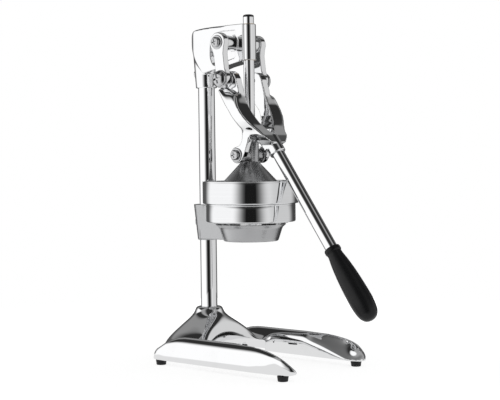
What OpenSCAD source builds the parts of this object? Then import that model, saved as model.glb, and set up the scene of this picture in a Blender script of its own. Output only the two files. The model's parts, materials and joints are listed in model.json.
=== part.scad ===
// Lever citrus press: horseshoe base, column, cup bracket, press rod and toggle lever.
// +Z up, the user stands on the -Y side, and the press is a mirror image across X = 0.
// The origin is on the table, under the middle of the whole press.

/* [Base casting] */
// Half the width of the base across its legs
base_half_w = 94; // [84:1:110]
// Width of each leg
leg_w = 24; // [20:1:32]
// How far the leg tips reach in front of the press axis
leg_reach = 152; // [140:1:175]
// How far the back of the base reaches behind the column axis
heel_reach = 38; // [32:1:48]
// Height of the ridge that runs along the legs
leg_h = 46; // [40:1:54]
// Height of the column neck above the table
neck_h = 81; // [72:1:95]
// Radius of the neck at its lip
neck_r = 21; // [19:0.5:25]
// Wall of the base casting
base_wall = 4; // [3:0.5:6]

/* [Feet] */
// Diameter of a rubber foot
foot_d = 16; // [13:0.5:20]
// Height of a rubber foot
foot_h = 8; // [6:0.5:12]
// Foot positions in front of the press axis
foot_front = 129; // [115:1:135]
// Sideways distance from the middle plane to a foot
foot_side = 82; // [76:1:84]
// Diameter of a foot screw shank
foot_screw_d = 5; // [4:0.5:6]
// How deep a foot screw goes into the base
foot_screw_depth = 10; // [8:1:14]

/* [Column] */
// Outer diameter of the column tube
column_d = 25; // [22:0.5:28]
// Wall of the column tube
column_wall = 2; // [1.5:0.5:3]
// Distance from the column axis to the press axis
press_offset = 87; // [86:1:100]
// Height of the top of the head above the table
head_top = 501; // [490:1:530]
// Height of the head's column socket
head_h = 90; // [80:1:100]
// Shank diameter of the bolt that holds the column to the base
column_bolt_d = 8; // [6:1:10]

/* [Cup bracket] */
// Depth of the bracket's underside below the lower pivot
cups_drop = 127.4; // [126:0.1:150]
// Height of the bracket's flat arm
bracket_arm_h = 27; // [20:1:32]
// Width of the bracket's arm
bracket_arm_w = 36; // [28:1:42]
// Outer radius of the bracket bowl at its rim
bowl_r = 57; // [52:1:60]
// Outer radius of the bracket bowl at its foot
bowl_foot_r = 40; // [34:1:46]
// Wall of the bracket bowl
bowl_wall = 3; // [2.5:0.5:4]

/* [Cups] */
// Outer radius of the juice funnel
funnel_r = 66; // [62:0.5:67]
// Height of the juice funnel band
funnel_h = 26.5; // [22:0.5:32]
// Outer radius of the strainer cup
strainer_r = 70.5; // [68:0.5:71]
// Height of the strainer cup band
strainer_h = 33; // [28:0.5:40]
// Sheet thickness of both cups
cup_wall = 1.5; // [1:0.1:2]
// Radius of the juice outlet
outlet_r = 10; // [8:0.5:14]
// Radius of the reamer at its base
reamer_r = 33; // [28:1:38]
// Height of the reamer
reamer_h = 38; // [32:1:40]
// Number of ribs on the reamer
reamer_ribs = 8; // [6:1:10]
// Number of strainer holes in the outer ring
strainer_holes = 30; // [18:1:34]

/* [Press cone] */
// Outer radius of the press cone at its lower edge
cone_r = 52; // [46:1:56]
// Radius of the hub above the cone
hub_r = 13; // [11:0.5:15]
// Height of the hub above the lower pivot
hub_h = 20; // [18:0.5:21]
// Wall of the press cone
cone_wall = 3; // [2:0.5:4]
// Stroke of the press rod
stroke = 72; // [50:1:74]

/* [Rod] */
// Diameter of the press rod
rod_d = 16; // [14:0.5:17]
// How far the rod stands above the head at rest
rod_above = 10; // [9:1:20]
// Height of the end cap on the rod
rod_cap_h = 4; // [3:0.5:6]
// Outer radius of the guide sleeve on the head
sleeve_r = 10.8; // [10.6:0.1:12]
// Length of the guide sleeve
sleeve_h = 53; // [45:1:60]

/* [Linkage] */
// Depth of the upper pivot below the top of the head
upper_pivot_drop = 27.7; // [25:0.1:32]
// Distance from the lower pivot to the knee pivot
lever_len = 111.2; // [108:0.1:114]
// Lean of that line at rest, towards the column
lever_lean = 7.3; // [6:0.1:8.5]
// Length of a side link between its pivots
link_len = 54; // [52:0.1:56]
// Lean of the links at rest
link_lean = 7; // [6:0.1:8.5]
// Sideways distance to the inner face of the lever arms
arm_in = 22; // [21.6:0.1:23]
// Thickness of a lever arm at the knee
arm_t = 12.7; // [11:0.1:13]
// How far the arms swell outwards below the knee
swell = 14; // [6:0.5:15]
// Thickness of a side link
link_t = 11; // [9:0.1:13]
// Radius of the upper eye of a link
link_eye_r = 14.5; // [13.5:0.5:15.5]
// Radius of the knee eyes
knee_eye_r = 12.5; // [12:0.1:13]
// Radius of the lower lug eyes
lug_eye_r = 12; // [11:0.5:13]
// Diameter of the pivot shanks
pivot_d = 10; // [8:0.5:10.5]
// Wall of the pivot bushes
bush_wall = 2; // [1:0.5:2]

/* [Handle] */
// Lean of the handle at rest, from straight down towards the user
handle_lean = 35.8; // [34:0.2:37]
// Diameter of the handle tube
handle_d = 18; // [16:0.5:19]
// Length of the handle socket on the lever
socket_len = 27; // [24:1:30]
// How deep the handle tube sits in its socket
tube_seat = 19; // [15:1:21]
// Length of the handle from its socket to the end of the grip
handle_len = 282; // [250:1:300]
// Length of the grip
grip_len = 118; // [100:1:130]
// Largest radius of the grip
grip_r = 17; // [15:0.5:19]
// Radius of the grip at its neck
grip_neck_r = 12; // [11:0.5:13]

/* [Fits] */
// Radial clearance of a running fit
run_fit = 0.05; // [0.03:0.01:0.08]
// Gap between faces that slide past each other
side_gap = 0.3; // [0.2:0.05:0.4]

/* [Hidden] */
$fn = 96;

chrome = "silver";
steel = "lightgray";
satin = "gainsboro";
rubber = "black";
bronze = "darkgoldenrod";
eps = 0.01;

// Side-view points are [forward, height], measured from the press axis and the table.
function lean_vec(angle) = [-sin(angle), cos(angle)];
lower_pivot_z = head_top - upper_pivot_drop - link_len * cos(link_lean) - lever_len * cos(lever_lean);
lower_pivot = [0, lower_pivot_z];
knee_pivot = lower_pivot + lever_len * lean_vec(lever_lean);
upper_pivot = knee_pivot + link_len * lean_vec(link_lean);
column_f = -press_offset;

// The grip end sets the front of the press and the heel of the base its back.
handle_dir = [sin(handle_lean), -cos(handle_lean)];
handle_across = [cos(handle_lean), sin(handle_lean)];
socket_wall = 2.9;
socket_r = handle_d / 2 + socket_wall;
socket_offset = [39, 23.5];
socket_start = lower_pivot + socket_offset;
grip_end = socket_start + handle_dir * (handle_len + socket_len);
front_reach = grip_end[0] + grip_r * 0.45;
back_reach = press_offset + heel_reach;
press_y = (front_reach - back_reach) / 2;

// Base
leg_in = base_half_w - leg_w;
neck_flare_w = 58;
leg_inner_h = leg_h * 0.7;
neck_collar_h = 24;
neck_bevel = 3;
foot_boss_h = foot_screw_depth + 8;
base_edge = foot_h;
heel_f = column_f - heel_reach;
foot_back = column_f - heel_reach * 0.57;
neck_floor_z = foot_h + 17;
neck_floor_t = 6;
foot_spots = [for (f = [foot_front, foot_back], x = [-foot_side, foot_side]) [x, f]];

// Column
column_r = column_d / 2;
column_bore_r = column_r + run_fit;
head_roof = 16;
column_top = head_top - head_roof;
boss_wide_r = column_r + 8.8;
boss_slim_r = column_r + 3.2;
plug_h = 22;

// Bracket and cups
bracket_z = lower_pivot_z - cups_drop;
bracket_top = bracket_z + bracket_arm_h * 2;
bowl_rise = 2.4;
bowl_top = bracket_z + bracket_arm_h + bowl_rise;
cup_gap = 1.2;
bowl_seat_w = 4;
outlet_room = 8;
strainer_hole_r = 2;
funnel_z = bowl_top + side_gap;
strainer_z = funnel_z + funnel_h + side_gap;
strainer_top = strainer_z + strainer_h;
reamer_z = strainer_z + cup_wall;

// Head
socket_foot = head_top - head_h;
head_boss_h = head_h - 12;
head_screw_rise = 22;
head_half_w = 13.5;
web_half = 9.6;
sleeve_share = 0.3;

// Press cone
cone_top_z = lower_pivot_z - 10;
cone_slope = 1.07;
cone_rim_h = 4;
cone_drop = cone_wall * sqrt(1 + pow(cone_slope, 2));
cone_edge_z = cone_top_z - (cone_r - hub_r) * cone_slope;
hub_top = lower_pivot_z + hub_h;
rod_r = rod_d / 2;
rod_bush_wall = 1.4;
rod_bush_r = rod_r + run_fit + rod_bush_wall;
rod_foot = lower_pivot_z - 6;
rod_top = head_top + rod_above;
cross_boss_r = lug_eye_r - 2.5;
cone_pin_r = 2.5;
cone_pin_z = hub_top - 6;

// Fully raised, the knee lies where both lengths meet again, on the column side
open_pivot = lower_pivot + [0, stroke];
open_span = norm(upper_pivot - open_pivot);
open_along = (pow(lever_len, 2) - pow(link_len, 2) + pow(open_span, 2)) / (2 * open_span);
open_off = sqrt(pow(lever_len, 2) - pow(open_along, 2));
open_dir = (upper_pivot - open_pivot) / open_span;
open_knee = open_pivot + open_dir * open_along + open_off * [-open_dir[1], open_dir[0]];
lever_swing = atan2(open_pivot[0] - open_knee[0], open_knee[1] - open_pivot[1]) - lever_lean;
rod_room = rod_r + 1;

// Linkage, sideways
arm_out = arm_in + arm_t;
link_in = arm_out + side_gap;
link_out = link_in + link_t;
lug_t = 9.5;
lug_in = arm_in - 2;
lug_out = lug_in + lug_t;
pivot_r = pivot_d / 2;
bush_r = pivot_r + run_fit + bush_wall;
washer_t = 1.5;
pan_r = 7.6;
pan_h = 5;
clamp_head_r = pan_r * 0.85;
washer_lip = 2.8;
dome_r = 12;
dome_h = 7;
stud_r = 4;
boss_r = 11.5;
lower_head_x = lug_out + side_gap + washer_t;
knee_head_x = link_out + side_gap + washer_t;

// Handle
tube_wall = 2;
grip_seat = grip_len * 0.8;
tube_len = tube_seat + handle_len - grip_len + grip_seat - side_gap;

// Moves side-view points into place: forward becomes -Y and the extrusion runs along X
module across(x0, x1)
    translate([0, press_y, 0])
        rotate([90, 0, -90])
            translate([0, 0, -x1])
                linear_extrude(x1 - x0)
                    children();

module cross_bar(at, r, x0, x1)
    across(x0, x1) translate(at) circle(r);

module both_sides() {
    children();
    mirror([1, 0, 0]) children();
}

// Puts a shape made about Z onto the press axis, or a distance in front of it
module on_axis(forward = 0, z = 0)
    translate([0, press_y - forward, z]) children();

// Puts a shape made about Z onto a side-view point, with its +Z pointing outwards along +X
module on_pivot(at, x)
    translate([x, press_y - at[0], at[1]]) rotate([0, 90, 0]) children();

// Runs a shape made about Z down the handle, from the start of its socket
module along_handle(distance = 0)
    on_axis(socket_start[0] + handle_dir[0] * distance, socket_start[1] + handle_dir[1] * distance)
        rotate([180 - handle_lean, 0, 0])
            children();

module cross_recess(size, depth)
    for (turn = [0, 90])
        rotate(turn) cube([size, size / 4, depth * 2], center = true);

// Pan head screw: the head stands on Z = 0 and the shank runs down
module pan_screw(head_r, head_h, shank_r, shank_len) {
    difference() {
        union() {
            cylinder(r = head_r, h = head_h * 0.55);
            translate([0, 0, head_h * 0.55 - eps])
                cylinder(r1 = head_r, r2 = head_r * 0.62, h = head_h * 0.45);
        }
        translate([0, 0, head_h]) cross_recess(head_r * 0.9, head_h * 0.4);
    }
    translate([0, 0, -shank_len]) cylinder(r = shank_r, h = shank_len + eps);
}

module washer(outer_r, inner_r, thick)
    difference() {
        cylinder(r = outer_r, h = thick);
        translate([0, 0, -1]) cylinder(r = inner_r, h = thick + 2);
    }

// ---- Base ----

// Outline of the base seen from above, as [x, forward]; inset shrinks it inwards
function half_outline(inset) = let (
        w = base_half_w - inset,
        n = leg_in + inset,
        tip = leg_reach - inset * 1.6,
        tip_x = base_half_w - leg_w * 0.72
    ) [
        [0, heel_f + inset], [w * 0.5, heel_f + inset + 0.5], [w * 0.84, heel_f + inset + 2.5],
        [w * 0.95, heel_f + inset + 7], [w * 0.99, heel_f + inset + 16], [w, heel_f + 38],
        [w, leg_reach * 0.45], [w - 1.5, leg_reach * 0.7], [w - 5, leg_reach * 0.87],
        [w - 10, leg_reach - 7 - inset], [tip_x, tip], [n + 1, leg_reach - 9 - inset],
        [n - 1, leg_reach * 0.8], [n, leg_reach * 0.5], [n, 0],
        for (a = [0:15:90]) [n * cos(a), column_f + 66 + inset - n * 0.45 * sin(a)]
    ];

function base_outline(inset) = let (half = half_outline(inset)) concat(
        half, [for (i = [len(half) - 2:-1:1]) [-half[i][0], half[i][1]]]);

// Height of the ridge along the base, as [forward, height]; drop lowers it
function ridge(drop) = [
        [heel_f + drop, base_edge + 5], [heel_f + 9 + drop, leg_h * 0.44],
        [heel_f + 18 + drop, leg_h * 0.59], [heel_f + 29 + drop, leg_h * 0.75],
        [heel_f + 40 + drop, leg_h * 0.87], [heel_f + 52, leg_h * 0.95], [heel_f + 66, leg_h * 0.99],
        [heel_f + 84, leg_h], [0, leg_h * 0.99], [leg_reach * 0.3, leg_h],
        [leg_reach * 0.46, leg_h], [leg_reach * 0.58, leg_h * 0.96], [leg_reach * 0.7, leg_h * 0.88],
        [leg_reach * 0.8, leg_h * 0.78], [leg_reach * 0.89, leg_h * 0.64],
        [leg_reach * 0.96, leg_h * 0.48], [leg_reach - drop, leg_h * 0.32]
    ];

// Section of the base seen from the front, as [x, height]: round outside, falling to the inner edge
function brow(inset) = [
        [base_half_w - inset, 0], [base_half_w - 0.5 - inset, leg_h * 0.42],
        [base_half_w - 3 - inset, leg_h * 0.66], [base_half_w - 6.5 - inset, leg_h * 0.84 - inset * 0.4],
        [base_half_w - 10 - inset, leg_h * 0.96 - inset * 0.7], [base_half_w - 14, leg_h + 1 - inset],
        [leg_in + 5, leg_h * 0.91 - inset], [leg_in, leg_inner_h - inset],
        [leg_in - 8, leg_h * 0.62 - inset], [0, leg_h * 0.58 - inset]
    ];

function brow_outline(inset) = let (half = brow(inset)) concat(
        half, [for (i = [len(half) - 2:-1:0]) [-half[i][0], half[i][1]]]);

// Wedge that lets the inner edge of a leg fall away towards its tip
module tip_fall(inset)
    both_sides()
        hull()
            for (cut = [[leg_reach * 0.3, leg_inner_h - 1, leg_h + 4], [leg_reach + 1, 2, leg_h * 0.53]])
                translate([0, press_y - cut[0], -inset])
                    rotate([90, 0, 0])
                        linear_extrude(eps)
                            polygon([[leg_in - 6, cut[1] - 8], [leg_in, cut[1]], [leg_in + 12.5, cut[2]],
                                     [leg_in + 12.5, leg_h * 2], [leg_in - 6, leg_h * 2]]);

module base_block(inset, from_z)
    difference() {
        intersection() {
            translate([0, press_y, from_z])
                mirror([0, 1, 0]) linear_extrude(leg_h + 20) polygon(base_outline(inset));
            across(-base_half_w, base_half_w)
                polygon(concat([[leg_reach - inset, from_z + 5], [leg_reach - inset - 5, from_z + 1.5],
                                [leg_reach - inset - 13, from_z], [heel_f + inset, from_z]],
                               [for (p = ridge(inset)) [p[0], p[1] - inset]]));
            translate([0, press_y + back_reach + 1, 0])
                rotate([90, 0, 0])
                    linear_extrude(back_reach + leg_reach + 2)
                        polygon(brow_outline(inset));
        }
        tip_fall(inset);
    }

// Neck that flares into the back of the base
module neck_flare()
    intersection() {
        on_axis(column_f)
            rotate_extrude()
                polygon([[0, base_edge], [neck_r + neck_flare_w, base_edge],
                         [neck_r + neck_flare_w * 0.93, leg_h * 0.59],
                         [neck_r + neck_flare_w * 0.83, leg_h * 0.78],
                         [neck_r + neck_flare_w * 0.74, leg_h * 0.89],
                         [neck_r + neck_flare_w * 0.64, leg_h],
                         [neck_r + neck_flare_w * 0.52, leg_h + 5],
                         [neck_r + neck_flare_w * 0.4, leg_h + 10],
                         [neck_r + neck_flare_w * 0.28, leg_h + 14.5],
                         [neck_r + neck_flare_w * 0.18, leg_h + 18.5],
                         [neck_r + neck_flare_w * 0.09, leg_h + 22.5],
                         [neck_r + neck_flare_w * 0.03, leg_h + 26],
                         [neck_r, neck_h - 4], [0, neck_h - 4]]);
        translate([0, press_y, 0]) mirror([0, 1, 0]) linear_extrude(neck_h) polygon(base_outline(0));
        across(-base_half_w, base_half_w)
            polygon([[heel_f, base_edge], [heel_f, base_edge + 5], [heel_f + 4, leg_h * 0.53],
                     [heel_f + 8, leg_h * 0.8], [heel_f + 12, leg_h + 1], [heel_f + 15, leg_h + 10],
                     [column_f - neck_r, neck_h - 14], [column_f - neck_r, neck_h],
                     [column_f + neck_r, neck_h], [column_f + neck_r + 4, leg_h + 24],
                     [column_f + neck_r + 11, leg_h + 9], [column_f + neck_r + 16, leg_h - 4],
                     [column_f + neck_r + 21, leg_h - 13], [column_f + neck_r + 28, leg_h * 0.6],
                     [0, leg_h * 0.5], [0, base_edge]]);
    }

module base()
    color(chrome)
        difference() {
            union() {
                difference() {
                    union() {
                        base_block(0, base_edge);
                        neck_flare();
                        on_axis(column_f, neck_h - neck_collar_h) {
                            cylinder(r = neck_r, h = neck_collar_h - neck_bevel);
                            translate([0, 0, neck_collar_h - neck_bevel])
                                cylinder(r1 = neck_r, r2 = neck_r - neck_bevel, h = neck_bevel);
                        }
                    }
                    base_block(base_wall, base_edge - 1);
                }
                on_axis(column_f, neck_floor_z - neck_floor_t)
                    cylinder(r = column_r + base_wall, h = neck_h - 10 - neck_floor_z);
                for (spot = foot_spots)
                    translate([spot[0], press_y - spot[1], base_edge])
                        cylinder(r = foot_d / 2 - 1, h = foot_boss_h);
            }
            on_axis(column_f, neck_floor_z) cylinder(r = column_bore_r, h = neck_h);
            on_axis(column_f, 0) cylinder(r = column_bolt_d / 2 + 0.3, h = neck_h);
            for (spot = foot_spots)
                translate([spot[0], press_y - spot[1], 0])
                    cylinder(r = foot_screw_d / 2, h = foot_h + foot_screw_depth + 2);
        }

module rubber_feet()
    color(rubber)
        for (spot = foot_spots)
            translate([spot[0], press_y - spot[1], 0])
                difference() {
                    cylinder(r1 = foot_d / 2 - 1, r2 = foot_d / 2, h = foot_h);
                    translate([0, 0, -1]) cylinder(r = foot_screw_d, h = foot_h * 0.6 + 1);
                    translate([0, 0, -1]) cylinder(r = foot_screw_d / 2 + 0.1, h = foot_h + 2);
                }

module foot_screws()
    color(steel)
        for (spot = foot_spots)
            translate([spot[0], press_y - spot[1], foot_h * 0.6])
                mirror([0, 0, 1])
                    pan_screw(foot_screw_d * 0.9, foot_h * 0.35, foot_screw_d / 2 - run_fit,
                              foot_h * 0.4 + foot_screw_depth);

// ---- Column ----

module column()
    color(chrome)
        on_axis(column_f, neck_floor_z)
            difference() {
                cylinder(r = column_r, h = column_top - neck_floor_z);
                translate([0, 0, -1]) cylinder(r = column_r - column_wall, h = column_top);
            }

module column_plug()
    color(steel)
        on_axis(column_f, neck_floor_z)
            difference() {
                cylinder(r = column_r - column_wall - run_fit, h = plug_h);
                translate([0, 0, -1]) cylinder(r = column_bolt_d / 2, h = plug_h + 2);
            }

module column_bolt()
    color(steel)
        on_axis(column_f, neck_floor_z - neck_floor_t) {
            translate([0, 0, -washer_t])
                washer(column_bolt_d * 1.1, column_bolt_d / 2 - run_fit - eps, washer_t);
            translate([0, 0, -washer_t - 5]) cylinder(r = column_bolt_d * 0.85, h = 5 + eps, $fn = 6);
            translate([0, 0, -washer_t])
                cylinder(r = column_bolt_d / 2 - run_fit, h = neck_floor_t + plug_h - 2);
        }

// ---- Bracket ----

module bracket_bowl()
    on_axis(0)
        rotate_extrude()
            polygon([[0, bracket_z + 1], [bowl_foot_r, bracket_z + 1], [bowl_foot_r + 1.5, bracket_z + 5],
                     [bowl_foot_r * 0.6 + bowl_r * 0.4, bracket_z + (bowl_top - bracket_z) * 0.72],
                     [bowl_r - 3, bowl_top - 2], [bowl_r, bowl_top], [0, bowl_top]]);

module cup_bracket()
    color(satin)
        difference() {
            union() {
                on_axis(column_f, bracket_z)
                    cylinder(r1 = boss_slim_r, r2 = boss_wide_r, h = bracket_top - bracket_z);
                across(-bracket_arm_w / 2, bracket_arm_w / 2)
                    polygon([[column_f, bracket_z + 2], [-bowl_foot_r + 8, bracket_z + 2],
                             [-bowl_foot_r + 8, bowl_top], [-funnel_r - cup_gap, bowl_top],
                             [-funnel_r - cup_gap, bracket_top - 1], [column_f, bracket_top - 1]]);
                bracket_bowl();
            }
            on_axis(column_f, bracket_z - 1) cylinder(r = column_bore_r, h = bracket_top);
            on_axis(0, bowl_top - bowl_wall) cylinder(r = bowl_r - bowl_wall, h = 30);
            on_axis(0, bracket_z + 3)
                cylinder(r1 = bowl_foot_r - bowl_wall, r2 = bowl_r - bowl_wall - 7,
                         h = bowl_top - bracket_z - bowl_wall - 3 + eps);
            on_axis(0, bracket_z - 1) cylinder(r = outlet_r + outlet_room, h = 10);
            on_axis(0, funnel_z - eps) cylinder(r = funnel_r + side_gap, h = strainer_h);
            translate([0, press_y - column_f, bracket_z + bracket_arm_h])
                rotate([-90, 0, 0]) cylinder(r = stud_r, h = boss_wide_r + 5);
        }

module clamp_screw(z, boss_out)
    translate([0, press_y - column_f + boss_out, z])
        rotate([-90, 0, 0])
            pan_screw(clamp_head_r, 4, stud_r - run_fit, boss_out - column_bore_r);

module bracket_screw()
    color(steel) clamp_screw(bracket_z + bracket_arm_h, boss_wide_r - 2);

// ---- Cups ----

module juice_funnel()
    color(chrome)
        on_axis(0)
            rotate_extrude()
                polygon([[outlet_r - cup_wall, bracket_z + 3], [outlet_r, bracket_z + 3],
                         [outlet_r, funnel_z - 14], [bowl_r - bowl_wall - bowl_seat_w, funnel_z],
                         [funnel_r - 0.8, funnel_z], [funnel_r, funnel_z + 1.2],
                         [funnel_r, funnel_z + funnel_h], [funnel_r - cup_wall, funnel_z + funnel_h],
                         [funnel_r - cup_wall, funnel_z + cup_wall],
                         [bowl_r - bowl_wall - bowl_seat_w, funnel_z + cup_wall],
                         [outlet_r - cup_wall, funnel_z - 14 + cup_wall]]);

module strainer_cup()
    color(chrome)
        on_axis(0)
            difference() {
                rotate_extrude()
                    polygon([[0, strainer_z], [strainer_r - 0.8, strainer_z],
                             [strainer_r, strainer_z + 0.8],
                             [strainer_r, strainer_top - 0.6], [strainer_r - 0.5, strainer_top],
                             [strainer_r - cup_wall, strainer_top],
                             [strainer_r - cup_wall, strainer_z + cup_wall],
                             [0, strainer_z + cup_wall]]);
                for (i = [0:strainer_holes - 1])
                    rotate(i * 360 / strainer_holes)
                        translate([funnel_r - 10, 0, strainer_z - 1])
                            cylinder(r = strainer_hole_r, h = cup_wall + 2, $fn = 24);
                for (i = [0:strainer_holes - 7])
                    rotate(i * 360 / (strainer_holes - 6))
                        translate([funnel_r - 18, 0, strainer_z - 1])
                            cylinder(r = strainer_hole_r, h = cup_wall + 2, $fn = 24);
            }

module reamer()
    color(satin)
        on_axis(0, reamer_z) {
            rotate_extrude()
                polygon([[0, 0], [reamer_r + 4, 0], [reamer_r + 4, 2], [reamer_r - 2, 3],
                         [reamer_r * 0.85, reamer_h * 0.3], [reamer_r * 0.62, reamer_h * 0.6],
                         [reamer_r * 0.34, reamer_h * 0.84],
                         [reamer_r * 0.1, reamer_h - 1.5], [0, reamer_h]]);
            for (i = [0:reamer_ribs - 1])
                rotate(i * 360 / reamer_ribs)
                    rotate([90, 0, 0])
                        translate([0, 0, -1])
                            linear_extrude(2)
                                polygon([[0, 1], [reamer_r, 1], [reamer_r * 0.95, reamer_h * 0.3],
                                         [reamer_r * 0.72, reamer_h * 0.62],
                                         [reamer_r * 0.42, reamer_h * 0.86],
                                         [0, reamer_h - 1]]);
        }

// ---- Head ----

module head_plan() {
    translate([0, press_offset]) circle(boss_wide_r);
    polygon([[-boss_wide_r, press_offset], [-head_half_w, 40], [-head_half_w, 0], [head_half_w, 0],
             [head_half_w, 40], [boss_wide_r, press_offset]]);
}

// Side view of the head's arm, from the sleeve back over the column
function head_side() = [
        [2, head_top - sleeve_h], [-30, head_top - sleeve_h - 6],
        [column_f + 10, head_top - sleeve_h - 16],
        [column_f - 10, head_top - 40], [column_f - boss_wide_r, head_top - 20],
        [column_f - boss_wide_r, head_top - 14], [column_f - boss_wide_r + 6, head_top - 8.5],
        [column_f - 8, head_top - 4], [column_f + 12, head_top - 1.2], [column_f + 34, head_top],
        [2, head_top]
    ];

// Hollow in the side of the head's arm
module head_pocket()
    across(web_half, boss_wide_r + 5)
        polygon([[-15, head_top - 8], [-16, head_top - sleeve_h + 4], [-38, head_top - sleeve_h - 1],
                 [-57, head_top - sleeve_h - 4], [-61, head_top - sleeve_h + 8], [-60, head_top - 24],
                 [-54, head_top - 13], [-44, head_top - 8]]);

module head_casting()
    difference() {
        union() {
            on_axis(column_f, socket_foot)
                cylinder(r1 = boss_slim_r, r2 = boss_wide_r, h = head_boss_h);
            intersection() {
                translate([0, press_y, socket_foot]) linear_extrude(head_h + 1) head_plan();
                across(-boss_wide_r, boss_wide_r) polygon(head_side());
            }
            on_axis(0, head_top - sleeve_h) cylinder(r = sleeve_r, h = sleeve_h);
        }
        both_sides() head_pocket();
        on_axis(column_f, socket_foot - 1)
            cylinder(r = column_bore_r, h = column_top - socket_foot + 1 + side_gap);
        on_axis(0, socket_foot) cylinder(r = rod_bush_r, h = head_h + 1);
        translate([0, press_y - column_f, socket_foot + head_screw_rise])
            rotate([-90, 0, 0]) cylinder(r = stud_r, h = boss_wide_r + 5);
    }

module head()
    color(chrome) {
        head_casting();
        both_sides()
            difference() {
                cross_bar(upper_pivot, boss_r, web_half - 1, arm_out);
                cross_bar(upper_pivot, stud_r, web_half + 6, arm_out + 1);
            }
    }

module head_screw()
    color(steel)
        clamp_screw(socket_foot + head_screw_rise,
                    boss_slim_r + run_fit
                        + (boss_wide_r - boss_slim_r) * (head_screw_rise + clamp_head_r) / head_boss_h);

module rod_bushes()
    color(bronze)
        for (z = [head_top - sleeve_h, head_top - sleeve_h * sleeve_share])
            on_axis(0, z)
                difference() {
                    cylinder(r = rod_bush_r, h = sleeve_h * sleeve_share);
                    translate([0, 0, -1]) cylinder(r = rod_r + run_fit, h = sleeve_h);
                }

// ---- Press rod and cone ----

module press_rod()
    color(chrome)
        difference() {
            on_axis(0, rod_foot) cylinder(r = rod_r, h = rod_top - rod_foot);
            on_axis(0, cone_pin_z) rotate([0, 90, 0])
                cylinder(r = cone_pin_r, h = rod_d * 2, center = true);
        }

module rod_cap()
    color(rubber)
        on_axis(0, rod_top) {
            cylinder(r = rod_r, h = rod_cap_h * 0.5);
            translate([0, 0, rod_cap_h * 0.5 - eps])
                cylinder(r1 = rod_r, r2 = rod_r * 0.6, h = rod_cap_h * 0.5);
        }

module press_cone()
    color(satin)
        difference() {
            union() {
                on_axis(0)
                    rotate_extrude()
                        polygon([[0, cone_top_z - cone_drop], [hub_r, cone_top_z - cone_drop],
                                 [cone_r - cone_wall, cone_edge_z + cone_wall * cone_slope - cone_drop],
                                 [cone_r - cone_wall, cone_edge_z - cone_rim_h],
                                 [cone_r, cone_edge_z - cone_rim_h],
                                 [cone_r, cone_edge_z], [hub_r, cone_top_z], [hub_r, hub_top],
                                 [0, hub_top]]);
                cross_bar(lower_pivot, cross_boss_r, -lug_in + side_gap, lug_in - side_gap);
            }
            on_axis(0, rod_foot - run_fit) cylinder(r = rod_r + run_fit, h = hub_h * 2);
            both_sides() cross_bar(lower_pivot, pivot_r, rod_r + 2, lug_in + 1);
            on_axis(0, cone_pin_z) rotate([0, 90, 0])
                cylinder(r = cone_pin_r, h = hub_r * 3, center = true);
        }

module cone_pin()
    color(steel)
        on_axis(0, cone_pin_z)
            rotate([0, 90, 0]) cylinder(r = cone_pin_r - run_fit, h = hub_r * 2 - 1, center = true);

module lower_pivot_screws()
    color(steel)
        both_sides()
            on_pivot(lower_pivot, lower_head_x)
                pan_screw(pan_r, pan_h, pivot_r - run_fit, lower_head_x - rod_r - 3);

module lower_pivot_washers()
    color(steel)
        both_sides()
            on_pivot(lower_pivot, lug_out + side_gap) washer(pan_r + washer_lip, pivot_r, washer_t);

// ---- Lever ----

// Side view of a lever arm, from the knee eye down to the handle socket
function arm_side() = [
        knee_pivot + [-2, knee_eye_r], knee_pivot + [8, knee_eye_r - 1], knee_pivot + [15, 8],
        knee_pivot + [19, 1], knee_pivot + [21.5, -8.5], knee_pivot + [26.3, -24],
        knee_pivot + [31.7, -37.5], knee_pivot + [38, -48.5], knee_pivot + [44.4, -58.8],
        knee_pivot + [50, -67.5],
        socket_start + handle_dir * 2 + handle_across * (socket_r - 0.6),
        socket_start + handle_dir * socket_len * 0.55 + handle_across * (socket_r - 0.6),
        socket_start + handle_dir * socket_len * 0.55 - handle_across * (socket_r - 0.6),
        socket_start + handle_dir * 2 - handle_across * (socket_r - 0.6),
        lower_pivot + [18, 26], lower_pivot + [12.6, 36], lower_pivot + [6.4, 50],
        lower_pivot + [0, 64], lower_pivot + [-13, 79], lower_pivot + [-25.5, 93],
        knee_pivot + [-12.3, -4]
    ];

// Front view of one lever arm, as [x, height]: straight at the knee, then in to the socket
function arm_front() = [
        [arm_in, knee_pivot[1] + 15], [arm_out, knee_pivot[1] + 15], [arm_out, lower_pivot_z + 40],
        [arm_out - 6, lower_pivot_z + 28], [arm_out - 16, lower_pivot_z + 21],
        [socket_r, lower_pivot_z + 14], [socket_r - 1, lower_pivot_z - 6],
        [0, lower_pivot_z - 6], [0, lower_pivot_z + 29], [5, lower_pivot_z + 33],
        [11, lower_pivot_z + 40], [16, lower_pivot_z + 48], [arm_in - 2, lower_pivot_z + 58],
        [arm_in, lower_pivot_z + 68]
    ];

// The arms swell outwards below the links' sweep, as [x, height] seen from the front
function swell_front() = [
        [arm_out - 2, knee_pivot[1] - 10], [arm_out + 1, knee_pivot[1] - 12],
        [arm_out + swell * 0.35, knee_pivot[1] - 16], [arm_out + swell * 0.66, knee_pivot[1] - 24],
        [arm_out + swell * 0.9, knee_pivot[1] - 34], [arm_out + swell, knee_pivot[1] - 44],
        [arm_out + swell * 0.88, lower_pivot_z + 57], [arm_out + swell * 0.6, lower_pivot_z + 49],
        [arm_out + swell * 0.2, lower_pivot_z + 41], [arm_out - 4, lower_pivot_z + 33],
        [arm_out - 8, lower_pivot_z + 29]
    ];

// What the swell keeps clear of: the link as it lies beside the fully raised lever
function below_sweep() = [
        knee_pivot + [-60, -knee_eye_r - 1], knee_pivot + [4, -knee_eye_r - 1],
        knee_pivot + [9, -knee_eye_r - 3.5], knee_pivot + [28, -knee_eye_r - 12.7],
        knee_pivot + [60, -knee_eye_r - 40], knee_pivot + [60, -120], knee_pivot + [-60, -120]
    ];

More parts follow.
